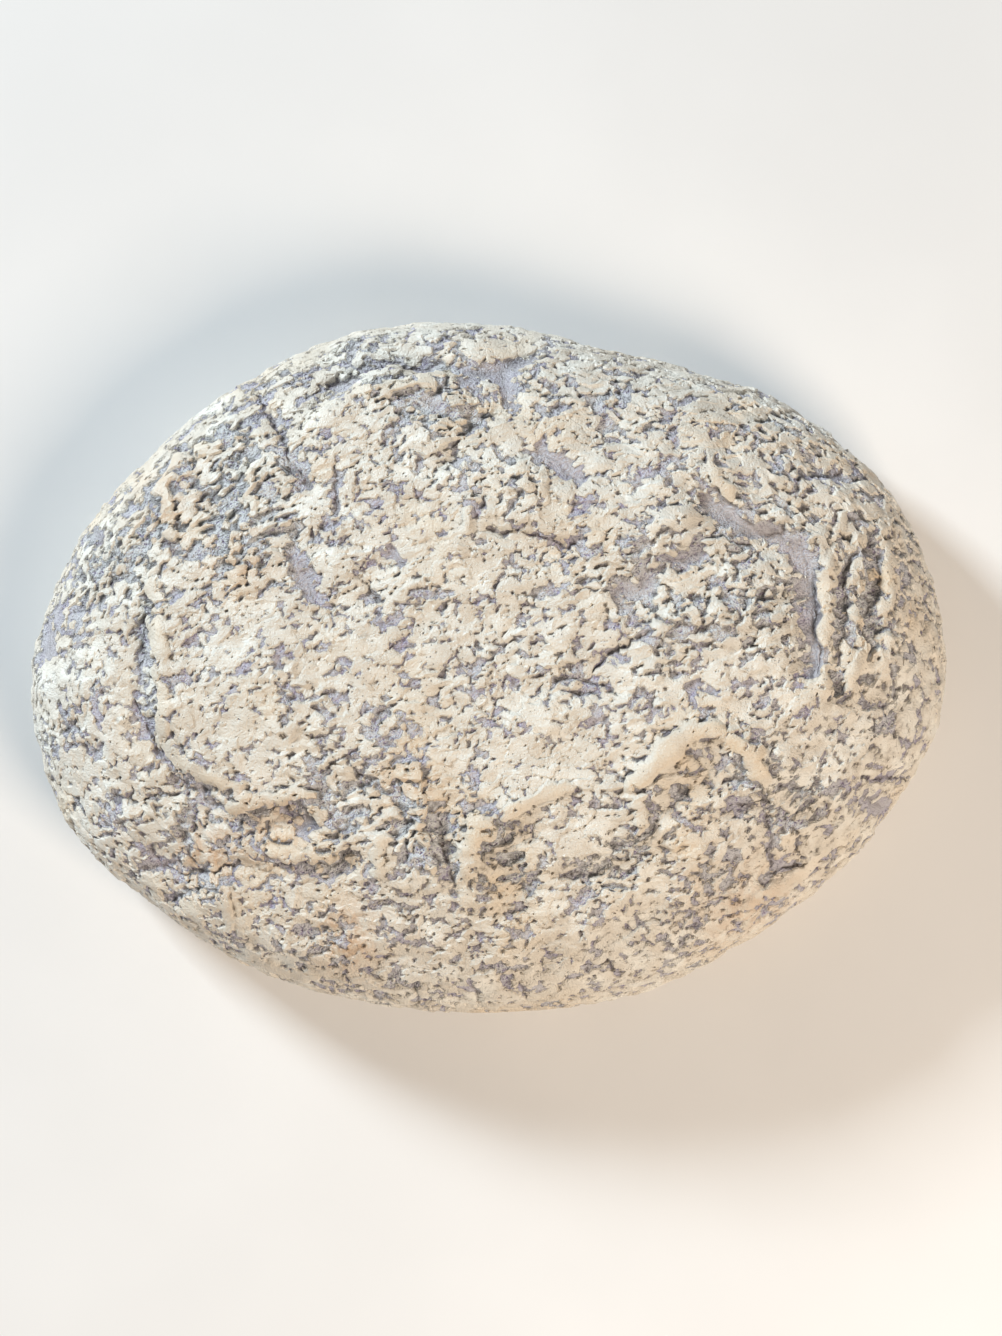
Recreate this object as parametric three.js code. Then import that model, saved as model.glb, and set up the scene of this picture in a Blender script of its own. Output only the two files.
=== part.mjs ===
// An oval display stone with a wrinkled crust, lying on its flat underside.
// Millimetres, +Z up and +X along the length. The origin is on the ground, under the middle of the stone.

import * as THREE from "three";
import { ImprovedNoise } from "three/addons/math/ImprovedNoise.js";
import { mergeVertices } from "three/addons/utils/BufferGeometryUtils.js";

const { clamp, lerp, smoothstep } = THREE.MathUtils;

// Driving dimensions
const LENGTH = 220;
const WIDTH = 166;
const HEIGHT = 50;
const GIRTH_HEIGHT = 17; // the widest outline's height above the ground
const BASE_SHARE = 0.86; // the flat underside's reach, as a share of the widest outline's
const CROWN_POWER = 3.4; // over 2, the crown is flatter than an ellipse's
const GIRTH_CRUST = 0.5; // the share of the crust's relief that is left at the girth
const CRUST_FADE_REACH = 0.85; // the relief starts to fade here on the crown, as a share of the outline
const UNDER_FADE_DROP = 0.3; // and has all gone at the ground, fading from this share of the way down

// How finely the surface is faceted: 20 * (FACET_SPLITS + 1) ** 2 facets in all
const FACET_SPLITS = 19;
const PROFILE_STEPS = 120;
const OUTLINE_STEPS = 1440;
const BASE_FACET_WEIGHT = 0.08; // the flat underside needs few facets
const UNDER_FACET_WEIGHT = 0.5;

// The widest outline seen from above, anticlockwise from the right-hand tip
const OUTLINE = [
  [110, 0],
  [100, 36],
  [75, 62],
  [50, 71],
  [28, 77],
  [0, 82.5],
  [-30, 81],
  [-58, 69.5],
  [-84, 48.5],
  [-101, 27],
  [-110, 0],
  [-102, -37],
  [-85, -53],
  [-59, -71],
  [-29, -80.5],
  [0, -82.5],
  [29, -79],
  [57, -68],
  [84, -48],
  [102, -27],
];

// Raised folds, lips and knobs of the crust: height, spread to either side, and the [x, y] points it runs along
const FOLDS = [
  [1.9, 3.6, [-78, 19], [-76, 6], [-75, -4], [-75, -13], [-73, -19], [-67, -25], [-59, -28]],
  [2.2, 2.6, [-60, -33], [-53, -32], [-47, -30], [-41, -32], [-38, -37]],
  [2.0, 2.8, [-51, -44], [-44, -45], [-37, -44], [-31, -41]],
  [1.8, 2.8, [-74, 48], [-78, 43], [-77, 37], [-75, 31]],
  [1.7, 2.8, [-70, 51], [-64, 54], [-59, 55]],
  [1.6, 2.6, [-57, 46], [-55, 39], [-60, 30], [-59, 21]],
  [1.5, 3.2, [-38, 60], [-28, 64], [-17, 66], [-11, 68]],
  [1.5, 3.0, [-26, 58], [-19, 57], [-13, 56]],
  [1.7, 2.6, [8, 48], [9, 43], [10, 39]],
  [1.4, 2.6, [-4, 39], [-5, 33], [-9, 29]],
  [1.0, 3.4, [2, 36], [12, 34], [21, 32], [27, 34]],
  [1.9, 2.6, [53, 49], [56, 43], [61, 38], [68, 34], [75, 32]],
  [1.8, 2.8, [66, 46], [74, 44], [83, 43]],
  [1.5, 4.0, [34, 28], [45, 36]],
  [2.3, 2.6, [81, 27], [80, 16], [80, 5], [79, -4]],
  [1.8, 2.6, [88, 33], [87, 20], [87, 6], [85, -6]],
  [1.6, 2.8, [94, 31], [95, 16], [94, 3]],
  [1.6, 3.0, [29, 8], [37, 10], [46, 10], [56, 12]],
  [2.4, 3.2, [63, -26], [61, -20], [56, -17], [51, -14], [46, -16], [40, -22], [34, -28]],
  [1.8, 2.6, [47, -23], [41, -28], [36, -32], [36, -38]],
  [1.7, 3.0, [3, -35], [10, -31], [18, -28], [27, -27]],
  [2.2, 4.6, [-2, -37], [-5, -47]],
  [1.9, 2.6, [-18, -24], [-16, -32], [-15, -40], [-14, -47]],
  [1.6, 2.6, [-25, -39], [-26, -48]],
  [1.4, 3.0, [-63, -53], [-62, -62]],
  [1.5, 4.2, [46, -66], [60, -58], [75, -48], [86, -40]],
];

// Grooves, creases and scooped hollows, in the same form: depth, spread, points
const GROOVES = [
  [2.0, 2.8, [-82, 14], [-83, 0], [-84, -8], [-82, -14], [-79, -21], [-74, -27], [-64, -33]],
  [2.2, 2.4, [-64, -36], [-55, -36], [-48, -35], [-44, -37]],
  [1.9, 2.6, [-80, -42], [-78, -48], [-70, -49], [-60, -47], [-50, -49], [-40, -48], [-33, -45]],
  [1.5, 2.6, [-91, -31], [-82, -32], [-75, -31]],
  [2.5, 3.2, [-56, 66], [-50, 58], [-47, 50], [-43, 43]],
  [1.5, 3.0, [-46, 28], [-42, 18]],
  [2.1, 2.8, [-41, 64], [-31, 70], [-22, 73], [-11, 73], [0, 71], [8, 74]],
  [2.1, 2.6, [-9, 50], [-5, 57], [1, 61]],
  [1.9, 3.0, [10, 53], [15, 49], [22, 45]],
  [1.3, 2.4, [-1, 32], [9, 30], [14, 28], [22, 28]],
  [1.7, 2.6, [-22, 27], [-28, 22], [-31, 13]],
  [2.8, 3.4, [50, 41], [58, 35], [66, 30], [73, 27], [76, 20], [75, 10], [75, 0]],
  [1.9, 2.4, [84, 31], [83, 17], [83, 5], [82, -6]],
  [1.7, 2.4, [91, 34], [91, 20], [90, 6]],
  [1.5, 2.6, [70, 62], [84, 55]],
  [1.6, 2.6, [76, 48], [87, 47]],
  [2.0, 2.6, [25, 0], [31, 4], [38, 7]],
  [1.5, 2.4, [15, -4], [22, -4], [29, -6]],
  [1.8, 3.4, [43, -2], [51, -5]],
  [1.9, 3.0, [44, -30], [51, -24], [57, -25]],
  [1.8, 2.4, [58, -33], [66, -34], [66, -42], [69, -48]],
  [1.7, 2.6, [-33, -24], [-27, -29]],
  [1.8, 2.6, [-10, -33], [-11, -42], [-9, -51]],
  [1.7, 2.6, [16, -49], [28, -48]],
  [1.4, 2.4, [90, -26], [102, -26]],
];

// Broad swellings and, with a negative height, sunken patches: height, spread, middle
const SWELLINGS = [
  [1.2, 17, [-60, -10]],
  [0.9, 16, [-95, -12]],
  [0.9, 18, [16, -14]],
  [1.2, 7, [93, 43]],
  [-1.6, 12, [-64, 42]],
  [-2.0, 6, [2, 66]],
  [-2.1, 7, [35, 18]],
  [-1.6, 5, [47, 23]],
  [-1.5, 8, [-68, -39]],
  [-1.7, 5, [7, -46]],
  [-1.5, 6, [34, -43]],
  [-1.5, 6, [94, -34]],
];

// Undulation of the whole surface
const WAVES = [
  { height: 1.2, size: 40 },
  { height: 1.2, size: 17 },
  { height: 1.3, size: 8 },
];
const WANDER = 1.6; // how far a fold or groove strays from its straight stretches
const WANDER_SIZE = 9;
const WANDER_LAYERS = [0.5, 7.5]; // where the two stray amounts, along X and along Y, are read in the noise

const noise = new ImprovedNoise();

// Distance over the ground from a point to the nearest stretch of a line.
function distanceToLine(x, y, line) {
  const point = new THREE.Vector3(x, y, 0);
  const nearest = new THREE.Vector3();
  let least = Infinity;
  for (let i = 1; i < line.length; i++) {
    const stretch = new THREE.Line3(new THREE.Vector3(...line[i - 1], 0), new THREE.Vector3(...line[i], 0));
    stretch.closestPointToPoint(point, true, nearest);
    least = Math.min(least, nearest.distanceTo(point));
  }
  return least;
}

function bell(distance, spread) {
  return Math.exp(-((distance / spread) ** 2));
}

// How far a point strays sideways, so that lines drawn straight come out natural.
function strayed(x, y) {
  const [alongX, alongY] = WANDER_LAYERS.map((layer) => noise.noise(x / WANDER_SIZE, y / WANDER_SIZE, layer));
  return [x + WANDER * alongX, y + WANDER * alongY];
}

// How far the crust stands out of the smooth stone at a point of its surface.
function relief(x, y, z) {
  const point = strayed(x, y);
  let rise = 0;
  for (const [height, spread, ...line] of FOLDS) rise += height * bell(distanceToLine(...point, line), spread);
  for (const [depth, spread, ...line] of GROOVES) rise -= depth * bell(distanceToLine(...point, line), spread);
  for (const [height, spread, at] of SWELLINGS) rise += height * bell(Math.hypot(x - at[0], y - at[1]), spread);
  for (const { height, size } of WAVES) rise += height * noise.noise(x / size, y / size, z / size);
  return rise;
}

// The widest outline's distance from the middle, as a function of the bearing.
function outlineReach() {
  const corners = OUTLINE.map(([x, y]) => new THREE.Vector3(x, y, 0));
  const samples = new THREE.CatmullRomCurve3(corners, true).getPoints(OUTLINE_STEPS);
  const polar = samples.map((p) => ({ bearing: Math.atan2(p.y, p.x), reach: Math.hypot(p.x, p.y) }));
  polar.sort((a, b) => a.bearing - b.bearing);
  return (bearing) => polar.find((p) => p.bearing >= bearing)?.reach ?? polar[0].reach;
}

// The side profile from the crown's middle, over the shoulder and the girth, to the middle of the underside.
// Each stop has its reach as a share of the outline, its height, its share of the relief and its facet weight.
function sideProfile() {
  const stops = [];
  const crownRise = HEIGHT - GIRTH_HEIGHT;
  for (let i = 0; i <= PROFILE_STEPS; i++) {
    const turn = (i / PROFILE_STEPS) * (Math.PI / 2);
    const reach = Math.sin(turn) ** (2 / CROWN_POWER);
    const crust = lerp(1, GIRTH_CRUST, smoothstep(reach, CRUST_FADE_REACH, 1));
    stops.push({ reach, z: GIRTH_HEIGHT + crownRise * Math.cos(turn), crust, weight: 1 });
  }
  for (let i = 1; i <= PROFILE_STEPS; i++) {
    const turn = (i / PROFILE_STEPS) * (Math.PI / 2);
    const reach = BASE_SHARE + (1 - BASE_SHARE) * Math.cos(turn);
    const crust = GIRTH_CRUST * (1 - smoothstep(Math.sin(turn), UNDER_FADE_DROP, 1));
    stops.push({ reach, z: GIRTH_HEIGHT * (1 - Math.sin(turn)), crust, weight: UNDER_FACET_WEIGHT });
  }
  for (let i = 1; i <= PROFILE_STEPS; i++) {
    const reach = BASE_SHARE * (1 - i / PROFILE_STEPS);
    stops.push({ reach, z: 0, crust: 0, weight: BASE_FACET_WEIGHT });
  }
  return measured(stops);
}

// Adds to each stop the share of the whole surface that lies before it, and its outward direction.
function measured(stops) {
  const meanRadius = (LENGTH + WIDTH) / 4;
  let area = 0;
  stops.forEach((stop, i) => {
    const before = stops[Math.max(i - 1, 0)];
    const after = stops[Math.min(i + 1, stops.length - 1)];
    const step = Math.hypot((stop.reach - before.reach) * meanRadius, stop.z - before.z);
    area += (step * (stop.reach + before.reach) * stop.weight) / 2;
    stop.area = area;
    stop.out = new THREE.Vector2(before.z - after.z, (after.reach - before.reach) * meanRadius).normalize();
  });
  for (const stop of stops) stop.area /= area;
  return stops;
}

// The profile at a share of the surface's area, counted from the crown.
function profileAt(profile, share) {
  const i = Math.max(1, profile.findIndex((stop) => stop.area >= share));
  const a = profile[i - 1];
  const b = profile[i];
  const t = clamp((share - a.area) / (b.area - a.area), 0, 1);
  return {
    reach: lerp(a.reach, b.reach, t),
    z: lerp(a.z, b.z, t),
    crust: lerp(a.crust, b.crust, t),
    out: a.out.clone().lerp(b.out, t),
  };
}

// Wraps an evenly faceted ball onto the stone, so that facets are about one size all over the crown.
function stoneGeometry() {
  const ball = new THREE.IcosahedronGeometry(1, FACET_SPLITS);
  ball.deleteAttribute("normal");
  ball.deleteAttribute("uv");
  const geometry = mergeVertices(ball);
  const reachAt = outlineReach();
  const profile = sideProfile();
  const position = geometry.getAttribute("position");
  for (let i = 0; i < position.count; i++) {
    const bearing = Math.atan2(position.getY(i), position.getX(i));
    const areaShare = (1 - position.getZ(i)) / 2;
    const { reach, z, crust, out } = profileAt(profile, areaShare);
    const x = reachAt(bearing) * reach * Math.cos(bearing);
    const y = reachAt(bearing) * reach * Math.sin(bearing);
    const rise = crust ? crust * relief(x, y, z) : 0;
    position.setXYZ(
      i,
      x + rise * out.x * Math.cos(bearing),
      y + rise * out.x * Math.sin(bearing),
      z + rise * out.y,
    );
  }
  return fitted(geometry);
}

// Brings the shape to the driving dimensions exactly, centred over the origin and standing on the ground.
function fitted(geometry) {
  geometry.computeBoundingBox();
  const size = geometry.boundingBox.getSize(new THREE.Vector3());
  const middle = geometry.boundingBox.getCenter(new THREE.Vector3());
  geometry.translate(-middle.x, -middle.y, -geometry.boundingBox.min.z);
  geometry.scale(LENGTH / size.x, WIDTH / size.y, HEIGHT / size.z);
  geometry.computeVertexNormals();
  return geometry;
}

const stone = new THREE.Mesh(
  stoneGeometry(),
  new THREE.MeshStandardMaterial({ color: 0xc9bda6, roughness: 0.9, metalness: 0 }),
);
stone.name = "stone";

const part = new THREE.Group();
part.add(stone);

export default part;
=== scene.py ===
import math
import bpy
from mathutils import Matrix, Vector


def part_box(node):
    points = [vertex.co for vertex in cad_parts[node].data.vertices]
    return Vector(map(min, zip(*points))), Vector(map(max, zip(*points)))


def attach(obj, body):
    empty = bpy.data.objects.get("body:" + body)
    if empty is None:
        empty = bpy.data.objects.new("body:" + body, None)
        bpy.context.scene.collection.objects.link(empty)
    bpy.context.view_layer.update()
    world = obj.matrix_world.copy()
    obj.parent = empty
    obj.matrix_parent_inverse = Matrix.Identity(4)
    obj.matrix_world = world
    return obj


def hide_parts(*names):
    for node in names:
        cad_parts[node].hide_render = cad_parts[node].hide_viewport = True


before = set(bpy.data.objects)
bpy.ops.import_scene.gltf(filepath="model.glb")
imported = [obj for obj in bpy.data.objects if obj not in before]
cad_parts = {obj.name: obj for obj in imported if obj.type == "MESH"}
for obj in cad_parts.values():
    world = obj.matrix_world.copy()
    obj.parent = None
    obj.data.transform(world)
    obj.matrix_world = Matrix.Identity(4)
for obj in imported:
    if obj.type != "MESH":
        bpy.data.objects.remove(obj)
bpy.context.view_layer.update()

from types import SimpleNamespace

import bpy
import numpy as np
from mathutils import Vector

# Sizes are in millimetres in the part's own frame: x along the stone, y across it, z up from the ground.
MM = 0.001
LOW, HIGH = (np.array(corner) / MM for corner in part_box("stone"))
LENGTH, WIDTH, HEIGHT = HIGH - LOW
MEAN_RADIUS = (LENGTH + WIDTH) / 4
GIRTH_HEIGHT = 0.34 * HEIGHT  # where the stone is widest

# The photograph's frame, and where the stone lies in it, in pixels
PHOTO_WIDTH, PHOTO_HEIGHT = 1002, 1336
STONE_LEFT, STONE_RIGHT, STONE_TOP, STONE_BOTTOM = 33, 945, 323, 1012

# The stage
CAMERA_ABOVE_GIRTH = 1200
SENSOR = 36
FLOOR_HALF = 2000
SCREEN_GAMMA = 2.2

# The visual mesh
WELD_DIGITS = 7  # decimals of a metre to which two corners of the CAD mesh count as one
MESH_LEVELS = 3  # how often the CAD mesh is subdivided to hold the pits
MOST_TRIANGLES = 198000  # what the worn mesh is thinned out to, mostly where it is flat
LIP_ANGLE = 30  # degrees between two faces, over which the edge between them shows as sharp
HOLLOW_ROUNDS = 20  # rounds of smoothing of the crust that its hollows are measured from

# Where the crust is worn: the heights over the ground, and the upward slopes for the top's own forms,
# at which it begins and is full
WORN_HEIGHT = 1, 8
TOP_SLOPE = 0.1, 0.5

# The grain of the crust, which the wrinkles, lumps and pits follow
GRAIN_TURN = 12  # degrees, how far it rises to the right in the middle
GRAIN_DRIFT = 1.5  # how far it wavers
RIM_REACH = 0.5, 0.85  # share of the way out at which the wrinkles begin to follow the rim, and do so in full
CREST = 2.4  # how sharp the wrinkles' crests are
ROUGH_GAIN = 0.6  # strength of each finer layer of a rough noise over the one before
LAYER_SHIFT = 17.3  # sets the layers of a noise apart, so that they don't line up

# Lines drawn on the crust: how far they waver, how flat each is across its line, and how uneven ridges are
LINE_DRIFT, LINE_JITTER = 1.2, 1.1
RIDGE_POWER, MOAT_POWER, CREASE_POWER, SCOOP_POWER = 6, 3, 1.4, 2
MOAT_WIDTH = 1.9  # in widths of the ridge that the moat lies beside
RIDGE_MEAN, RIDGE_UNEVEN = 0.9, 0.35
CRACK_REACH = 3  # how far from a crease its distance is still told apart

# Skin and pits
PATCH_STRENGTH, PATCH_NOISE = 1.15, 0.16
MOAT_BREAK = 0.1  # how much a moat breaks the skin up
BROKEN_PATCH = 0.08, -0.2  # the patch at which the skin begins to break up, and is broken in full
PIT_WALL = -0.05, 0.04  # the skin's cover at the foot and at the top of a pit's wall
LOBE_REACH, CRUMB_REACH = 0.55, 0.48  # from the middle of a lobe or crumb to its edge, in its own sizes
LOBE_WAVER, CRUMB_WAVER = 0.6, 0.5
LAYER_EDGE, LEDGE_EDGE = 0.03, 0.04  # half the softness of the edges of the skin's layers and ledges
LAYER_FRAY, LEDGE_FRAY = 0.1, 0.12  # how much the fine grain frays those edges


class Size:
    """How far the crust's random forms run: along the grain, across it and down, or every way alike."""

    DRIFT, JITTER = 7, 2.8
    RIDGE_UNEVEN = 4
    PATCHES = 14
    WRINKLES, RIM_WRINKLES = (8, 3, 3), (8, 3)
    LUMPS = 9, 6, 6
    LAYERS, LEDGES = (9, 6, 6), (6, 2.6, 2.6)
    ISLANDS, FLAKES = (7, 5, 5), (4, 2.8, 2.8)
    LOBES, LOBE_WAVER = (2.8, 2.1, 2.1), 2
    CRUMBS, CRUMB_WAVER = 1.5, 1.4
    GRANULES = 1.6


class Seed:
    """Seeds of the crust's random forms. A shift takes its seed and the next two."""

    DRIFT, JITTER, LOBE_WAVER, CRUMB_WAVER = 11, 31, 41, 51
    LOBES, CRUMBS = 11, 12
    WRINKLES, RIM_WRINKLES = 14, 15
    LUMPS, LAYERS, LEDGES = 16, 27, 28
    GRANULES, GRAIN = 18, 26
    PATCHES, ISLANDS, FLAKES = 19, 20, 25
    RIDGE_UNEVEN = 23


class Rise:
    """How far each form lifts the crust, in millimetres, or as a share of the height in its list."""

    RIDGES, MOATS, CREASES, SCOOPS = 0.75, -0.4, -0.7, -0.5
    LUMPS, BROKEN_LUMPS = 0.25, 0.6
    WRINKLES, BROKEN_WRINKLES = 0.05, 0.4
    LAYERS, LEDGES = 0.3, 0.2
    SKIN, BROKEN_SKIN = 0.4, 0.7  # over the floor of its pits
    GRANULES = 0.03
    BROKEN_GRANULES, PIT_GRANULES = 0.06, 0.3  # added to the granules in broken skin and in pits


class Cover:
    """How much each form adds to the skin's cover, which is over 0 where the skin is whole."""

    BASE = 0.09
    LOBES = 0.8
    ISLANDS, BARE_ISLANDS = 0.24, 0.44
    RIDGES, MOATS, CREASES, SCOOPS = 0.2, -0.2, -0.4, -0.5
    BROKEN_WRINKLES, BROKEN_FLAKES = 0.2, 0.35
    CRUMBS, GRAIN = 0.38, 0.22
    BROKEN_SHARE = 0.7  # what is left of the crumbs and the grain in broken skin


# Folds of the crust that stand out: height, half width, and the [x, y] points each runs along
RIDGES = [
    (0.9, 1.5, (-74, 49), (-78, 43), (-77, 37), (-75, 31)),
    (0.8, 1.4, (-60, 31), (-59, 21)),
    (0.8, 1.5, (-69, 51), (-60, 55)),
    (0.7, 1.3, (-57, 46), (-56, 39)),
    (0.9, 1.8, (-79, 20), (-78, 8), (-77, -2), (-76, -10), (-77, -15), (-74, -21), (-67, -26), (-59, -28)),
    (1.1, 1.7, (-60, -33), (-52, -31), (-44, -30), (-40, -33), (-38, -37)),
    (1.0, 1.7, (-50, -44), (-43, -45), (-38, -45), (-32, -42)),
    (0.7, 1.5, (-63, -52), (-62, -62)),
    (0.7, 1.6, (-51, -72), (-44, -74), (-38, -72)),
    (0.8, 1.6, (-33, 64), (-26, 66), (-18, 68), (-11, 69)),
    (0.8, 1.5, (8, 47), (9, 43), (10, 39)),
    (0.7, 1.4, (13, 46), (13, 40)),
    (0.7, 1.4, (-4, 39), (-5, 33)),
    (1.0, 1.3, (53, 49), (56, 42), (61, 37), (67, 32)),
    (0.8, 1.5, (68, 45), (74, 43), (73, 38)),
    (0.9, 1.9, (83, 28), (79, 20), (81, 12), (78, 4), (80, -5)),
    (0.7, 1.7, (89, 34), (86, 27), (89, 19)),
    (0.8, 1.6, (86, 13), (89, 5), (85, -5)),
    (0.7, 1.8, (93, 30), (96, 22), (93, 14)),
    (0.6, 1.7, (95, 7), (93, -2)),
    (0.7, 1.3, (84, 36), (82, 31)),
    (1.3, 2.5, (35, -27), (40, -22), (46, -16), (51, -14), (56, -17), (62, -20), (63, -25)),
    (0.9, 1.6, (38, -30), (42, -27), (47, -23)),
    (0.9, 1.7, (36, -32), (36, -38)),
    (0.9, 1.6, (3, -35), (10, -31), (18, -28)),
    (1.0, 1.5, (-18, -24), (-16, -32), (-15, -40), (-14, -47)),
    (0.8, 1.6, (-25, -40), (-26, -48)),
    (1.2, 3.0, (-2, -37), (-5, -47)),
    (0.6, 2.0, (60, -58), (75, -48), (87, -40)),
]

# Creases and cracks: depth, half width, points
CREASES = [
    (1.1, 0.9, (-50, 49), (-46, 47)),
    (0.9, 0.9, (-56, 65), (-50, 57), (-47, 50), (-43, 43)),
    (0.9, 0.8, (-36, 45), (-37, 37)),
    (0.8, 0.8, (-40, 33), (-35, 35)),
    (0.9, 1.0, (-81, 14), (-82, 2), (-84, -8), (-82, -14), (-79, -20), (-75, -25), (-70, -29), (-64, -33)),
    (1.1, 1.0, (-55, -34), (-48, -33), (-44, -35)),
    (1.1, 0.9, (-50, -47), (-38, -47), (-33, -44)),
    (0.8, 0.8, (-90, -31), (-80, -31), (-74, -30)),
    (0.9, 0.9, (-80, -42), (-79, -47), (-74, -49), (-66, -48), (-60, -46)),
    (0.8, 0.8, (-76, -56), (-72, -53)),
    (1.0, 1.0, (-38, 66), (-30, 70), (-22, 73), (-12, 72)),
    (1.1, 0.9, (-8, 52), (-4, 58), (0, 60)),
    (1.0, 0.8, (0, 33), (10, 31), (14, 29), (22, 29)),
    (0.9, 0.8, (-2, 39), (-2, 35)),
    (0.9, 0.8, (-29, 19), (-27, 16)),
    (1.0, 0.9, (25, 0), (30, 4), (37, 8)),
    (0.9, 0.7, (16, -3), (22, -3), (29, -5)),
    (0.8, 0.7, (17, -5), (25, -7)),
    (0.9, 0.8, (58, 30), (62, 29)),
    (0.9, 0.8, (77, 46), (86, 46)),
    (1.0, 0.8, (77, 19), (77, 9), (78, 0)),
    (0.9, 0.8, (85, 27), (83, 19), (85, 11), (82, 3)),
    (0.8, 0.8, (91, 31), (92, 22), (90, 12), (91, 4)),
    (0.7, 0.8, (72, 62), (84, 56)),
    (1.0, 0.7, (66, -35), (66, -42), (68, -47)),
    (0.9, 0.7, (70, -36), (73, -40), (74, -44)),
    (0.8, 0.7, (66, -49), (70, -48), (75, -46)),
    (0.8, 0.7, (66, -32), (58, -33)),
    (0.8, 0.7, (90, -26.5), (102, -26)),
    (0.9, 0.8, (18, -49), (28, -48)),
    (0.8, 0.7, (23, -71), (28, -70), (31, -73)),
    (1.0, 0.8, (-31, -25), (-28, -27)),
    (0.9, 0.8, (-21, -27), (-20, -36), (-19, -45)),
    (0.9, 0.8, (-11, -34), (-11, -42), (-9, -50)),
    (0.8, 0.8, (-18, -76), (-17, -80)),
    (0.8, 0.8, (-4, -76), (-3, -80)),
    (0.8, 0.8, (8, -75), (9, -79)),
]

# Smooth hollows that the skin leaves bare: how bare, half width, points
SCOOPS = [
    (1.0, 2.2, (52, 40), (58, 35), (66, 31), (72, 29), (75, 25), (76, 12), (77, 0)),
    (1.0, 2.3, (-5, 70), (3, 71), (4, 64)),
    (0.9, 1.8, (5, 73), (10, 75)),
    (0.9, 1.8, (12, 52), (21, 45)),
    (1.0, 3.4, (-107, 23), (-106, 5)),
    (0.8, 1.5, (-96, 33), (-94, 31)),
    (1.0, 3.0, (90, -31), (98, -36)),
    (0.8, 2.4, (31, 17), (38, 20)),
    (0.7, 1.8, (43, 25), (50, 27)),
    (0.8, 1.8, (-46, 27), (-42, 18)),
    (0.8, 1.5, (-14, 63), (-12, 63)),
    (0.8, 1.5, (-45, -38), (-42, -37)),
    (0.7, 1.6, (-23, 27), (-20, 25)),
    (0.6, 2.0, (49, -4), (52, -5)),
]

# Where the skin is broken up (negative) or whole (positive): amount, radius, middle
CRUST_PATCHES = [
    (-0.22, 15, (-64, 42)),
    (-0.14, 10, (-50, 30)),
    (-0.16, 10, (-88, 25)),
    (-0.16, 12, (36, 18)),
    (-0.14, 14, (55, 22)),
    (-0.13, 16, (86, 20)),
    (-0.12, 14, (72, 58)),
    (-0.08, 13, (-68, -42)),
    (-0.12, 13, (-22, -38)),
    (-0.13, 10, (33, -44)),
    (-0.18, 8, (6, -46)),
    (-0.08, 12, (64, -36)),
    (-0.16, 10, (-10, 62)),
    (0.08, 14, (-63, -12)),
    (0.03, 17, (15, -16)),
    (0.03, 14, (-12, 8)),
    (0.06, 8, (50, -16)),
    (0.05, 10, (75, -50)),
]

# Round beads that sit on the crust: radius, middle
BEADS = [
    (0.9, (-87, -12.5)),
    (0.8, (-48, -66)),
    (0.9, (66, 17.5)),
    (0.7, (-12.5, -55)),
    (0.7, (1, -44)),
    (0.7, (67, -31)),
]

# Ochre stains: strength, radius, middle
STAINS = [
    (0.7, 8, (-66, -44)),
    (0.9, 7, (-34, -64)),
    (0.4, 10, (-77, 40)),
    (0.4, 9, (-59, 25)),
    (0.4, 14, (62, -58)),
    (0.4, 10, (-50, -36)),
    (0.4, 9, (-20, -30)),
]


class Noise:
    """Smooth seeded noise in three dimensions, from about -1 to 1."""

    CELLS = 256
    RAISE = 1.6

    def __init__(self, seed):
        draw = np.random.default_rng(seed)
        self.order = np.tile(draw.permutation(self.CELLS), 2)
        slopes = draw.normal(size=(self.CELLS, 3))
        self.slopes = slopes / np.linalg.norm(slopes, axis=1, keepdims=True)

    def __call__(self, points):
        cell = np.floor(points).astype(int)
        inside = points - cell
        fade = inside**3 * (inside * (inside * 6 - 15) + 10)  # level at 0 and at 1, steep between
        total = np.zeros(len(points))
        for corner in np.ndindex(2, 2, 2):
            a, b, c = ((cell + corner) % self.CELLS).T
            slope = self.slopes[self.order[self.order[self.order[a] + b] + c]]
            weight = np.where(corner, fade, 1 - fade).prod(axis=1)
            total += weight * ((inside - corner) * slope).sum(axis=1)
        return total * self.RAISE


class Cells:
    """Distance to the nearest of seeded points that are scattered one to each unit cube."""

    SPAN = 64

    def __init__(self, seed):
        self.places = np.random.default_rng(seed).random((self.SPAN, self.SPAN, self.SPAN, 3))

    def __call__(self, points):
        cell = np.floor(points).astype(int)
        nearest = np.full(len(points), np.inf)
        for step in np.ndindex(3, 3, 3):
            beside = cell + step - np.ones(3, int)
            place = beside + self.places[tuple((beside % self.SPAN).T)]
            nearest = np.minimum(nearest, np.linalg.norm(points - place, axis=1))
        return nearest


def wander(points, size, seed):
    """A shift for each point, up to about 1 each way, that changes smoothly over that many millimetres."""
    return np.stack([Noise(seed + axis)(points / size) for axis in range(3)], axis=1)


def layered(noise, points, layers=2, gain=0.5):
    """Noise with finer and weaker layers added to it."""
    return sum(gain**layer * noise(points * 2**layer + layer * LAYER_SHIFT) for layer in range(layers))


def between(first, second, share):
    """From the first value, where the share is 0, to the second, where it is 1."""
    return first + (second - first) * share


def smoothstep(low, high, value):
    """0 at low, 1 at high, smooth between. Low may be the greater of the two."""
    share = np.clip((value - low) / (high - low), 0, 1)
    return share * share * (3 - 2 * share)


def bell(distance, spread, power=2):
    """1 on the line, falling off to its sides: flat on top for a high power, pointed for a low one."""
    return np.exp(-((distance / spread) ** power))


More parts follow.
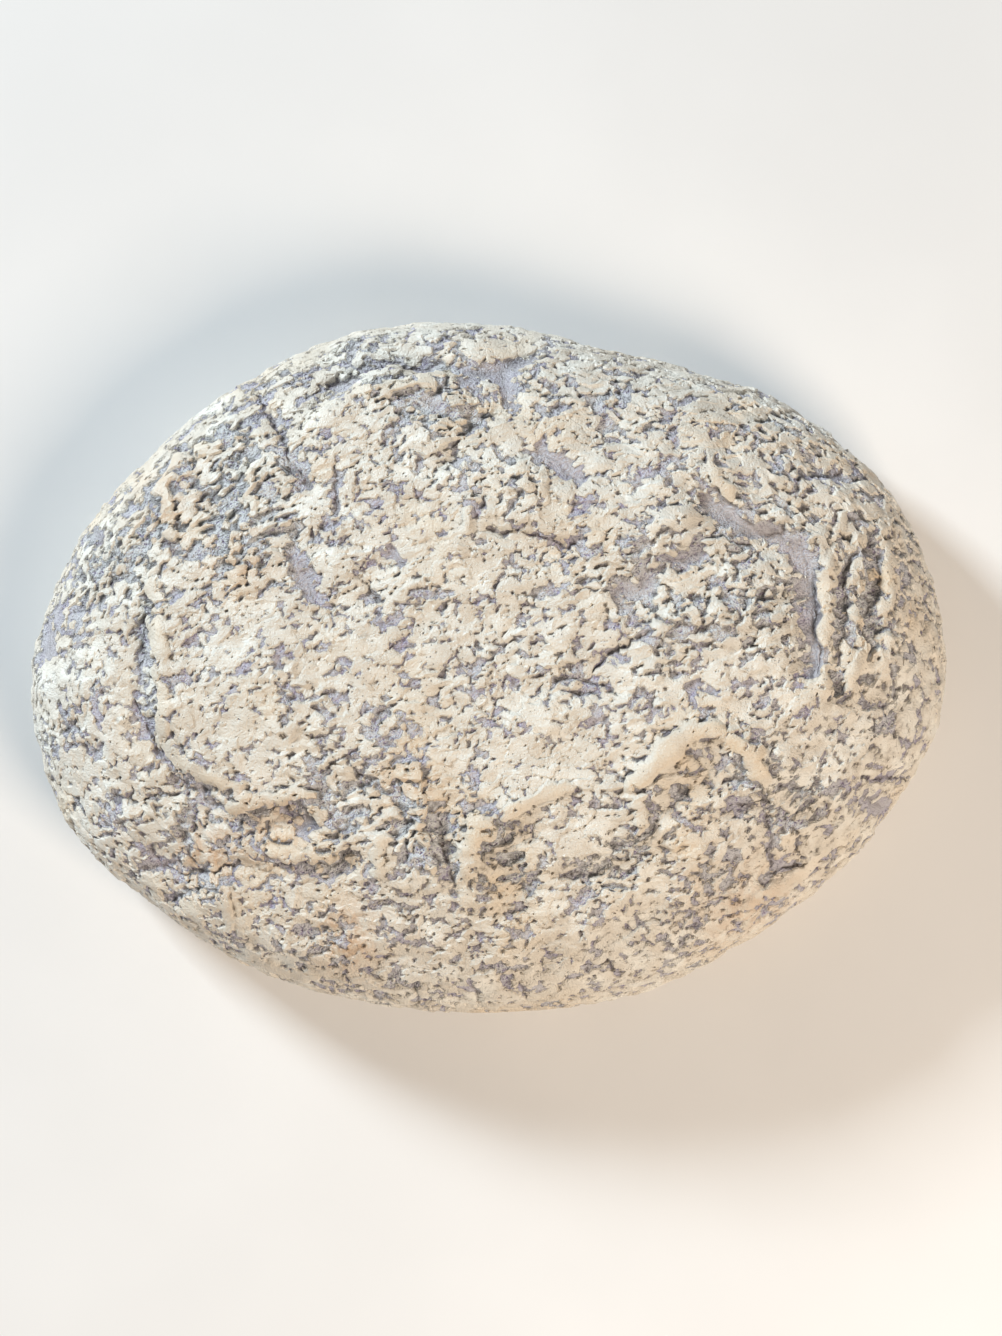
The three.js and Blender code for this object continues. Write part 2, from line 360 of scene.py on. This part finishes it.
def line_distance(points, line):
    """Distance over the ground from each point to a line, and the side of the line it is on."""
    nearest = np.full(len(points), np.inf)
    side = np.ones(len(points))
    for start, end in zip(line, line[1:]):
        start = np.array(start, float)
        along = np.array(end, float) - start
        offset = points - start
        share = np.clip(offset @ along / (along @ along), 0, 1)
        distance = np.linalg.norm(offset - share[:, None] * along, axis=1)
        closer = distance < nearest
        nearest[closer] = distance[closer]
        turn = along[0] * offset[:, 1] - along[1] * offset[:, 0]
        side[closer] = np.where(turn[closer] < 0, -1, 1)
    return nearest, side


def strokes(points, lines, power, widen=1):
    """Sum of the lines of a list at each point, each as high as it says."""
    total = np.zeros(len(points))
    for height, half_width, *line in lines:
        total += height * bell(line_distance(points, line)[0], widen * half_width, power)
    return total


def signed_distance(points, lines):
    """Distance to the nearest line of a list, under 0 on one side of it and over 0 on the other."""
    nearest = np.full(len(points), np.inf)
    signed = np.zeros(len(points))
    for _, _, *line in lines:
        distance, side = line_distance(points, line)
        closer = distance < nearest
        nearest[closer] = distance[closer]
        signed[closer] = (distance * side)[closer]
    return signed


def patches(points, spots):
    """Sum of the round, soft-edged spots of a list at each point."""
    total = np.zeros(len(points))
    for amount, radius, middle in spots:
        total += amount * bell(np.linalg.norm(points - middle, axis=1), radius)
    return total


def beads(points):
    """How far the beads stand up over the crust at each point."""
    total = np.zeros(len(points))
    for radius, middle in BEADS:
        distance = np.linalg.norm(points - middle, axis=1)
        total += np.sqrt(np.maximum(radius**2 - distance**2, 0))
    return total


class Surface:
    """A mesh's points, normals and edges as arrays, in millimetres."""

    def __init__(self, mesh):
        self.mesh = mesh
        count = len(mesh.vertices)
        self.points = self.read(mesh.vertices, "co", count, 3) / MM
        self.normals = self.read(mesh.vertex_normals, "vector", count, 3)
        edges = np.zeros(len(mesh.edges) * 2, int)
        mesh.edges.foreach_get("vertices", edges)
        self.a, self.b = edges.reshape(-1, 2).T
        self.neighbours = np.bincount(self.a, minlength=count) + np.bincount(self.b, minlength=count)

    @staticmethod
    def read(source, name, count, width):
        values = np.zeros(count * width)
        source.foreach_get(name, values)
        return values.reshape(-1, width)

    def smoothed(self, values, rounds):
        """Values averaged with those of the neighbouring points, some rounds over."""
        count = len(values)
        for _ in range(rounds):
            total = np.bincount(self.a, values[self.b], count) + np.bincount(self.b, values[self.a], count)
            values = (values + total / self.neighbours) / 2
        return values

    def keep(self, name, values):
        """Stores one number for each point, for the material to read."""
        layer = self.mesh.attributes.new(name, "FLOAT", "POINT")
        layer.data.foreach_set("value", values.astype(np.float32))

    def lift(self, rise):
        """Moves each point out along its normal."""
        points = (self.points + self.normals * rise[:, None]) * MM
        self.mesh.vertices.foreach_set("co", points.ravel())
        self.mesh.update()


def turned_points(points, degrees):
    """The points turned about the vertical, so that grain stretched along x slants by that much."""
    turn = math.radians(degrees)
    x, y, z = points.T
    along = x * math.cos(turn) + y * math.sin(turn)
    across = y * math.cos(turn) - x * math.sin(turn)
    return np.stack([along, across, z], axis=1)


def rim_points(points, length, depth):
    """Coordinates that run along the rim and in from it, for grain that follows the outline."""
    x, y, z = points.T
    bearing = np.arctan2(y / WIDTH, x / LENGTH)
    inward = np.hypot(x / LENGTH, y / WIDTH) * 2 * MEAN_RADIUS - z / 2
    turns = MEAN_RADIUS / length
    return np.stack([turns * np.cos(bearing), turns * np.sin(bearing), inward / depth], axis=1)


def crests(noise, points):
    """Lines of sharp crests, 1 high, where a noise passes through 0."""
    return 1 - CREST * np.abs(layered(noise, points))


def wrinkles(points, flowing, grained):
    """Crests that run with the grain in the middle of the stone, and along the rim near it."""
    middle = crests(Noise(Seed.WRINKLES), grained / Size.WRINKLES)
    rim = crests(Noise(Seed.RIM_WRINKLES), rim_points(flowing, *Size.RIM_WRINKLES))
    reach = np.hypot(points[:, 0] / (LENGTH / 2), points[:, 1] / (WIDTH / 2))
    return between(middle, rim, smoothstep(*RIM_REACH, reach))


def drawn_forms(surface, drift):
    """What the lists above draw on the crust at each point."""
    points = surface.points
    ground = points[:, :2]
    strayed = points + LINE_DRIFT * drift + LINE_JITTER * wander(points, Size.JITTER, Seed.JITTER)
    plan = strayed[:, :2]
    on_top = smoothstep(*TOP_SLOPE, surface.normals[:, 2])
    uneven = RIDGE_MEAN + RIDGE_UNEVEN * Noise(Seed.RIDGE_UNEVEN)(points / Size.RIDGE_UNEVEN)
    ridges = on_top * strokes(plan, RIDGES, RIDGE_POWER) * uneven
    moats = np.maximum(on_top * strokes(plan, RIDGES, MOAT_POWER, widen=MOAT_WIDTH) - ridges, 0)
    bare = on_top * np.minimum(strokes(plan, SCOOPS, SCOOP_POWER), 1)
    patch = PATCH_STRENGTH * on_top * patches(ground, CRUST_PATCHES)
    patch += PATCH_NOISE * Noise(Seed.PATCHES)(points / Size.PATCHES)
    return SimpleNamespace(
        ridges=ridges,
        moats=moats,
        creases=on_top * strokes(plan, CREASES, CREASE_POWER),
        bare=bare,
        patch=patch,
        broken=smoothstep(*BROKEN_PATCH, patch - MOAT_BREAK * moats) * (1 - bare),
        beads=on_top * beads(ground),
        stain=on_top * patches(ground, STAINS),
        across_scoop=signed_distance(plan, SCOOPS),
        across_crease=np.clip(signed_distance(plan, CREASES), -CRACK_REACH, CRACK_REACH),
    )


def grown_forms(points, drift):
    """The random wrinkles, lumps, layers, pits and grain of the crust at each point."""
    flowing = points + GRAIN_DRIFT * drift
    grained = turned_points(flowing, GRAIN_TURN)
    grain = layered(Noise(Seed.GRAIN), points, gain=ROUGH_GAIN)
    layers = layered(Noise(Seed.LAYERS), grained / Size.LAYERS, layers=3, gain=ROUGH_GAIN)
    ledges = Noise(Seed.LEDGES)(grained / Size.LEDGES)
    lobe_places = grained + LOBE_WAVER * wander(points, Size.LOBE_WAVER, Seed.LOBE_WAVER)
    crumb_places = points + CRUMB_WAVER * wander(points, Size.CRUMB_WAVER, Seed.CRUMB_WAVER)
    return SimpleNamespace(
        wrinkles=wrinkles(points, flowing, grained),
        lumps=layered(Noise(Seed.LUMPS), grained / Size.LUMPS, gain=ROUGH_GAIN),
        layers=smoothstep(-LAYER_EDGE, LAYER_EDGE, layers + LAYER_FRAY * grain),
        ledges=smoothstep(-LEDGE_EDGE, LEDGE_EDGE, ledges + LEDGE_FRAY * grain),
        islands=Noise(Seed.ISLANDS)(grained / Size.ISLANDS),
        flakes=Noise(Seed.FLAKES)(grained / Size.FLAKES),
        lobes=LOBE_REACH - Cells(Seed.LOBES)(lobe_places / Size.LOBES),
        crumbs=CRUMB_REACH - Cells(Seed.CRUMBS)(crumb_places / Size.CRUMBS),
        grain=grain,
        granules=layered(Noise(Seed.GRANULES), points / Size.GRANULES),
    )


def skin_cover(drawn, grown):
    """Over 0 where the skin is whole, under 0 in its pits."""
    cover = Cover.BASE + Cover.LOBES * grown.lobes + drawn.patch + drawn.beads
    cover += between(Cover.ISLANDS, Cover.BARE_ISLANDS, drawn.bare) * grown.islands
    cover += Cover.RIDGES * drawn.ridges + Cover.MOATS * drawn.moats
    cover += Cover.CREASES * drawn.creases + Cover.SCOOPS * drawn.bare
    cover += drawn.broken * (Cover.BROKEN_WRINKLES * grown.wrinkles + Cover.BROKEN_FLAKES * grown.flakes)
    fine = Cover.CRUMBS * grown.crumbs + Cover.GRAIN * grown.grain
    return cover + between(1, Cover.BROKEN_SHARE, drawn.broken) * fine


def crust_rise(drawn, grown, whole):
    """How far the crust stands out at each point, in millimetres."""
    in_pit = 1 - whole
    clad = 1 - drawn.bare
    rise = Rise.RIDGES * drawn.ridges + Rise.MOATS * drawn.moats + Rise.CREASES * drawn.creases
    rise += Rise.SCOOPS * drawn.bare + drawn.beads
    rise += between(Rise.LUMPS, Rise.BROKEN_LUMPS, drawn.broken) * grown.lumps
    rise += between(Rise.WRINKLES, Rise.BROKEN_WRINKLES, drawn.broken) * grown.wrinkles * clad
    smooth = np.maximum(drawn.bare, np.minimum(drawn.ridges, 1))
    rise += (Rise.LAYERS * grown.layers + Rise.LEDGES * grown.ledges) * (1 - smooth)
    rise -= between(Rise.SKIN, Rise.BROKEN_SKIN, drawn.broken) * in_pit
    rough = Rise.GRANULES + Rise.BROKEN_GRANULES * drawn.broken + Rise.PIT_GRANULES * in_pit * clad
    return rise + rough * grown.granules


def wear_crust(piece):
    """Works the crust's forms into the mesh, and stores what the paint needs to know of them."""
    surface = Surface(piece.data)
    points = surface.points
    drift = wander(points, Size.DRIFT, Seed.DRIFT)
    drawn = drawn_forms(surface, drift)
    grown = grown_forms(points, drift)
    cover = skin_cover(drawn, grown)
    whole = smoothstep(*PIT_WALL, cover)
    rise = crust_rise(drawn, grown, whole) * smoothstep(*WORN_HEIGHT, points[:, 2])
    surface.keep("cover", cover)
    # How far each point lies under the smoothed crust, which the paint darkens with wash and painted shade
    surface.keep("hollow", surface.smoothed(rise, HOLLOW_ROUNDS) - rise)
    for name in ("ridges", "creases", "bare", "broken", "stain", "across_scoop", "across_crease"):
        surface.keep(name, getattr(drawn, name))
    surface.lift(rise)


def apply_modifiers(piece):
    shown = piece.evaluated_get(bpy.context.evaluated_depsgraph_get())
    piece.data = bpy.data.meshes.new_from_object(shown)
    piece.modifiers.clear()
    piece.data.name = piece.name


def fine_stone():
    """A finer copy of the CAD stone: its corners welded, then smoothly subdivided."""
    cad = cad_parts["stone"].data
    corners = np.array([vertex.co for vertex in cad.vertices])
    welded, order = np.unique(corners.round(WELD_DIGITS), axis=0, return_inverse=True)
    faces = [[int(order[corner]) for corner in face.vertices] for face in cad.polygons]
    mesh = bpy.data.meshes.new("crust")
    mesh.from_pydata(welded.tolist(), [], faces)
    piece = bpy.data.objects.new("crust", mesh)
    bpy.context.scene.collection.objects.link(piece)
    finer = piece.modifiers.new("finer", "SUBSURF")
    finer.levels = MESH_LEVELS
    finer.render_levels = MESH_LEVELS
    apply_modifiers(piece)
    return piece


def thin_out(piece):
    """Joins up triangles where the worn surface is flat, and keeps them at the edges of the pits."""
    piece.data.calc_loop_triangles()
    thinner = piece.modifiers.new("thinner", "DECIMATE")
    thinner.ratio = MOST_TRIANGLES / len(piece.data.loop_triangles)
    apply_modifiers(piece)


class Nodes:
    """Short ways of adding nodes to one material."""

    NOISE_MEAN = 0.5
    MIX_COLOURS, MIX_RESULT = (6, 7), 2  # the mix node's colour sockets, among others of the same names

    def __init__(self, name):
        self.material = bpy.data.materials.new(name)
        self.material.use_nodes = True
        self.tree = self.material.node_tree
        self.shader = self.tree.nodes["Principled BSDF"]
        self.place = self.tree.nodes.new("ShaderNodeTexCoord").outputs["Object"]

    def link(self, value, socket):
        if isinstance(value, bpy.types.NodeSocket):
            self.tree.links.new(value, socket)
        else:
            socket.default_value = value

    def math(self, operation, *values):
        node = self.tree.nodes.new("ShaderNodeMath")
        node.operation = operation
        for value, socket in zip(values, node.inputs):
            self.link(value, socket)
        return node.outputs[0]

    def times(self, first, second):
        return self.math("MULTIPLY", first, second)

    def most(self, first, *others):
        """The greatest of the values."""
        for other in others:
            first = self.math("MAXIMUM", first, other)
        return first

    def sum(self, *terms):
        """Adds up (value, weight) pairs."""
        total = self.times(*terms[0])
        for value, weight in terms[1:]:
            total = self.math("MULTIPLY_ADD", value, weight, total)
        return total

    def noise(self, size, detail=2, roughness=0.5):
        """Noise from 0 to 1 whose features are about this many millimetres across."""
        node = self.tree.nodes.new("ShaderNodeTexNoise")
        node.inputs["Scale"].default_value = 1 / (size * MM)
        node.inputs["Detail"].default_value = detail
        node.inputs["Roughness"].default_value = roughness
        self.link(self.place, node.inputs["Vector"])
        return node.outputs["Fac"]

    def streaks(self, across, size):
        """Noise from 0 to 1 that changes only with one value, given in millimetres."""
        node = self.tree.nodes.new("ShaderNodeTexNoise")
        node.inputs["Scale"].default_value = 1 / size
        self.link(across, node.inputs["Vector"])
        return node.outputs["Fac"]

    def cells(self, size):
        """Distance to the nearest of scattered points, in steps of that many millimetres."""
        node = self.tree.nodes.new("ShaderNodeTexVoronoi")
        node.inputs["Scale"].default_value = 1 / (size * MM)
        self.link(self.place, node.inputs["Vector"])
        return node.outputs["Distance"]

    def attribute(self, name):
        node = self.tree.nodes.new("ShaderNodeAttribute")
        node.attribute_name = name
        return node.outputs["Fac"]

    def ramp(self, value, bounds):
        """0 at the first bound and 1 at the second, smooth between."""
        node = self.tree.nodes.new("ShaderNodeMapRange")
        node.interpolation_type = "SMOOTHSTEP"
        self.link(value, node.inputs["Value"])
        node.inputs["From Min"].default_value, node.inputs["From Max"].default_value = bounds
        return node.outputs["Result"]

    def mix(self, share, first, second):
        node = self.tree.nodes.new("ShaderNodeMix")
        node.data_type = "RGBA"
        self.link(share, node.inputs["Factor"])
        for colour, socket in zip((first, second), self.MIX_COLOURS):
            self.link(colour, node.inputs[socket])
        return node.outputs[self.MIX_RESULT]

    def relief(self, height):
        """Fine relief of that many millimetres, in the shading alone."""
        bump = self.tree.nodes.new("ShaderNodeBump")
        bump.inputs["Distance"].default_value = MM
        bump.inputs["Strength"].default_value = 1
        self.link(height, bump.inputs["Height"])
        self.link(bump.outputs["Normal"], self.shader.inputs["Normal"])


def shade(red, green, blue):
    """A screen colour, 0 to 255 each, as the linear colour that a shader takes."""
    return tuple((level / 255) ** SCREEN_GAMMA for level in (red, green, blue)) + (1,)


CREAM = shade(212, 202, 186)
PALE_CREAM = shade(231, 226, 214)
TAN = shade(216, 196, 168)
OCHRE = shade(200, 160, 120)
LAVENDER = shade(150, 139, 165)
GREY = shade(181, 175, 179)
TAUPE = shade(142, 135, 138)
PALE_GREY = shade(214, 213, 210)
# Dark brown of the wash and the dark granules, also used as painted shade at the pits' edges and in the
# hollows
BROWN_WASH_AND_SHADE = shade(84, 72, 64)
FLOOR_GREY = shade(226, 224, 221)
FLOOR_WHITE = shade(231, 229, 226)


class Speck:
    """Sizes of the paint's specks, in millimetres."""

    GRIT, FINE, SMALL, MOTTLE, BROAD = 0.5, 1.0, 2.2, 6, 26
    PINHOLE, STREAK = 1.3, 1.2
    FLOOR = 90


class Ramp:
    """Where each paint begins and where it is full, along the value that it follows."""

    # The edge wash is a dark band on the pits' side of the skin's edge: wash paint and painted shade of the
    # lip
    SKIN, EDGE_WASH, LIP = (-0.06, -0.02), (-0.14, -0.06), (-0.1, 0.16)
    PALE_CREAM, TAN, TAN_SPOTS, OCHRE_SPOTS = (0.35, 0.7), (0.45, 0.75), (0.2, 0.7), (0.3, 0.65)
    GREY, GREY_STREAKS = (0.35, 0.65), (0.35, 0.65)
    PALE_GRANULES, DARK_GRANULES = (0.38, 0.47), (0.36, 0.28)
    CRACK, CRACKED_CREASE, CRACK_GAPS = (0.3, 0.08), (0.2, 0.5), (0.3, 0.75)
    # The hollow ramp is the depth over which the hollows darken, with wash and painted shade
    HOLLOW, EDGE_GAPS, PINHOLE = (0.25, 0.6), (0.35, 0.65), (0.36, 0.28)
    FLOOR = 0.3, 0.7


class Share:
    """How strong each part of the paint is."""

    FINE_EDGE, GRIT_EDGE = 0.1, 0.16  # how much the specks fray the skin's edge
    FINE_GRANULE, GRIT_GRANULE = 0.6, 0.4
    COARSE, BROKEN_COARSE, BARE_COARSE = 0.4, 0.6, -0.2
    STREAK_WAVER = 4
    RIDGE_TAN = 0.8
    HOLLOW_FRAY, PINHOLE_FRAY = 0.3, 0.5
    # The edge and hollow washes are wash paint and painted shade at once
    EDGE_WASH, HOLLOW_WASH, PINHOLE_WASH = 0.4, 0.6, 0.6


class Bump:
    """Heights of the finest relief, in millimetres."""

    LIP, GRANULES, STREAKS, CRACK, PINHOLE = 0.15, 1.0, 0.4, -0.4, -0.2
    GRIT, FINE, SMALL = 0.25, 0.2, 0.1


class Gloss:
    """Roughness of the paint, what the skin and the fine specks add to it, and its specular level."""

    ROUGHNESS, SKIN, FINE = 0.3, 0.05, 0.2
    SPECULAR = 0.7
    FLOOR_ROUGHNESS = 0.7


class CrustPaint(Nodes):
    """Cream brushed over the high skin, lavender-grey left in the pits, and dark wash in the creases, with
    painted shade in the hollows and at the pits' edges.
    """

    def __init__(self):
        super().__init__("crust")
        self.grit = self.noise(Speck.GRIT, roughness=ROUGH_GAIN)
        self.fine = self.noise(Speck.FINE, roughness=ROUGH_GAIN)
        self.small = self.noise(Speck.SMALL, roughness=ROUGH_GAIN)
        self.mottle = self.noise(Speck.MOTTLE, detail=3)
        self.bare = self.attribute("bare")
        self.level = self.frayed_cover()
        self.skin = self.ramp(self.level, Ramp.SKIN)
        self.granule = self.sum((self.fine, Share.FINE_GRANULE), (self.grit, Share.GRIT_GRANULE))
        self.coarse = self.coarseness()
        self.streak = self.scoop_streaks()
        self.crack = self.crack_lines()
        self.pinhole = self.pinholes()
        self.paint()

    def frayed_cover(self):
        """The skin's cover with its edge frayed by specks, which leave its average as it is."""
        average = (Share.FINE_EDGE + Share.GRIT_EDGE) * self.NOISE_MEAN
        specks = (self.fine, Share.FINE_EDGE), (self.grit, Share.GRIT_EDGE)
        return self.math("SUBTRACT", self.sum((self.attribute("cover"), 1), *specks), average)

    def coarseness(self):
        """How strong the granules are: most in broken skin, least in the bare scoops."""
        away_from_scoops = self.math("MULTIPLY_ADD", self.bare, Share.BARE_COARSE, Share.COARSE)
        return self.math("MULTIPLY_ADD", self.attribute("broken"), Share.BROKEN_COARSE, away_from_scoops)

    def scoop_streaks(self):
        across = self.sum((self.attribute("across_scoop"), 1), (self.mottle, Share.STREAK_WAVER))
        return self.streaks(across, Speck.STREAK)

    def crack_lines(self):
        """Thin, wavering and interrupted lines along the creases."""
        waver = self.math("SUBTRACT", self.fine, self.NOISE_MEAN)
        distance = self.math("ABSOLUTE", self.math("ADD", self.attribute("across_crease"), waver))
        creased = self.ramp(self.attribute("creases"), Ramp.CRACKED_CREASE)
        line = self.times(self.ramp(distance, Ramp.CRACK), creased)
        return self.times(line, self.ramp(self.small, Ramp.CRACK_GAPS))

    def pinholes(self):
        spacing = self.sum((self.cells(Speck.PINHOLE), 1), (self.small, Share.PINHOLE_FRAY))
        return self.ramp(spacing, Ramp.PINHOLE)

    def skin_colour(self):
        """Cream, paler in spots, tan on the ridges and in broad patches, ochre where it is stained."""
        cream = self.mix(self.ramp(self.mottle, Ramp.PALE_CREAM), CREAM, PALE_CREAM)
        on_ridges = self.times(self.attribute("ridges"), Share.RIDGE_TAN)
        tan = self.most(on_ridges, self.ramp(self.noise(Speck.BROAD), Ramp.TAN))
        cream = self.mix(self.times(tan, self.ramp(self.mottle, Ramp.TAN_SPOTS)), cream, TAN)
        stain = self.times(self.attribute("stain"), self.ramp(self.small, Ramp.OCHRE_SPOTS))
        return self.mix(stain, cream, OCHRE)

    def ground_colour(self):
        """Lavender and grey in the pits and streaked taupe in the scoops, with pale and dark granules."""
        ground = self.mix(self.ramp(self.mottle, Ramp.GREY), LAVENDER, GREY)
        scoop = self.mix(self.ramp(self.streak, Ramp.GREY_STREAKS), TAUPE, GREY)
        ground = self.mix(self.bare, ground, scoop)
        pale = self.times(self.ramp(self.granule, Ramp.PALE_GRANULES), self.coarse)
        dark = self.times(self.ramp(self.granule, Ramp.DARK_GRANULES), self.coarse)
        return self.mix(dark, self.mix(pale, ground, PALE_GREY), BROWN_WASH_AND_SHADE)

    def wash_and_shade(self):
        """Dark wash that has run into the pits' edges, the hollows, the cracks and the pinholes; at the pits'
        edges and in the hollows it is also painted shade.
        """
        # Painted shade with wash: a dark band, with gaps, just inside each pit's edge
        pit_edge_wash_and_shade = self.math("SUBTRACT", self.ramp(self.level, Ramp.EDGE_WASH), self.skin)
        pit_edge_wash_and_shade = self.times(pit_edge_wash_and_shade, self.ramp(self.small, Ramp.EDGE_GAPS))
        # Painted shade with wash: darker the deeper the crust lies under its smoothed self
        depth = self.sum((self.attribute("hollow"), 1), (self.fine, Share.HOLLOW_FRAY))
        return self.most(
            self.times(pit_edge_wash_and_shade, Share.EDGE_WASH),
            self.times(self.ramp(depth, Ramp.HOLLOW), Share.HOLLOW_WASH),
            self.crack,
            self.times(self.pinhole, Share.PINHOLE_WASH),
        )

    def height(self):
        """Relief too fine for the mesh."""
        in_pit = self.math("SUBTRACT", 1, self.skin)
        return self.sum(
            (self.ramp(self.level, Ramp.LIP), Bump.LIP),
            (self.times(in_pit, self.times(self.granule, self.coarse)), Bump.GRANULES),
            (self.grit, Bump.GRIT),
            (self.fine, Bump.FINE),
            (self.small, Bump.SMALL),
            (self.times(self.streak, self.bare), Bump.STREAKS),
            (self.crack, Bump.CRACK),
            (self.pinhole, Bump.PINHOLE),
        )

    def paint(self):
        colour = self.mix(self.skin, self.ground_colour(), self.skin_colour())
        # The wash goes over the colour, and is painted shade where it follows the hollows and the pits' edges
        self.link(self.mix(self.wash_and_shade(), colour, BROWN_WASH_AND_SHADE), self.shader.inputs["Base Color"])
        added = self.sum((self.skin, Gloss.SKIN), (self.fine, Gloss.FINE))
        self.link(self.math("ADD", added, Gloss.ROUGHNESS), self.shader.inputs["Roughness"])
        self.shader.inputs["Specular IOR Level"].default_value = Gloss.SPECULAR
        self.relief(self.height())


def floor_material():
    nodes = Nodes("floor")
    tone = nodes.ramp(nodes.noise(Speck.FLOOR, detail=3), Ramp.FLOOR)
    nodes.link(nodes.mix(tone, FLOOR_GREY, FLOOR_WHITE), nodes.shader.inputs["Base Color"])
    nodes.shader.inputs["Roughness"].default_value = Gloss.FLOOR_ROUGHNESS
    return nodes.material


def make_stone():
    crust = fine_stone()
    wear_crust(crust)
    thin_out(crust)
    crust.data.shade_smooth()
    crust.data.set_sharp_from_angle(angle=math.radians(LIP_ANGLE))
    crust.data.materials.clear()
    crust.data.materials.append(CrustPaint().material)
    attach(crust, "root")
    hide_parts("stone")


def make_floor():
    half = FLOOR_HALF * MM
    mesh = bpy.data.meshes.new("floor")
    corners = [(-half, -half, 0), (half, -half, 0), (half, half, 0), (-half, half, 0)]
    mesh.from_pydata(corners, [], [(0, 1, 2, 3)])
    mesh.materials.append(floor_material())
    floor = bpy.data.objects.new("floor", mesh)
    bpy.context.scene.collection.objects.link(floor)


def make_camera():
    """Looks straight down, with the stone as large and as far off centre as in the photograph."""
    mm_per_pixel = LENGTH / (STONE_RIGHT - STONE_LEFT)
    across = (PHOTO_WIDTH - STONE_LEFT - STONE_RIGHT) / 2 * mm_per_pixel
    down = (PHOTO_HEIGHT - STONE_TOP - STONE_BOTTOM) / 2 * mm_per_pixel
    camera = bpy.data.objects.new("camera", bpy.data.cameras.new("camera"))
    camera.data.sensor_width = SENSOR
    camera.data.lens = SENSOR * CAMERA_ABOVE_GIRTH / (PHOTO_HEIGHT * mm_per_pixel)
    camera.location = Vector((across, -down, GIRTH_HEIGHT + CAMERA_ABOVE_GIRTH)) * MM
    bpy.context.scene.collection.objects.link(camera)
    bpy.context.scene.camera = camera


def make_light(name, place, size, watts, colour):
    """A square light that faces the middle of the stone's underside."""
    light = bpy.data.objects.new(name, bpy.data.lights.new(name, "AREA"))
    light.data.size = size * MM
    light.data.energy = watts
    light.data.color = colour
    light.location = Vector(place) * MM
    light.rotation_euler = (-light.location).to_track_quat("-Z", "Y").to_euler()
    bpy.context.scene.collection.objects.link(light)


def make_surroundings(colour, strength):
    world = bpy.data.worlds.new("studio")
    world.use_nodes = True
    background = world.node_tree.nodes["Background"]
    background.inputs["Color"].default_value = (*colour, 1)
    background.inputs["Strength"].default_value = strength
    bpy.context.scene.world = world


def make_lighting():
    """A cool window to the upper left, a weaker warm lamp to the lower right, and a dim pale room."""
    make_light("window", place=(-1280, 1140, 860), size=400, watts=46, colour=(0.80, 0.91, 1.0))
    make_light("lamp", place=(420, -450, 630), size=390, watts=6.2, colour=(1.0, 0.85, 0.70))
    make_surroundings(colour=(0.88, 0.94, 1.0), strength=0.18)
    bpy.context.scene.view_settings.view_transform = "Standard"


make_stone()
make_floor()
make_camera()
make_lighting()
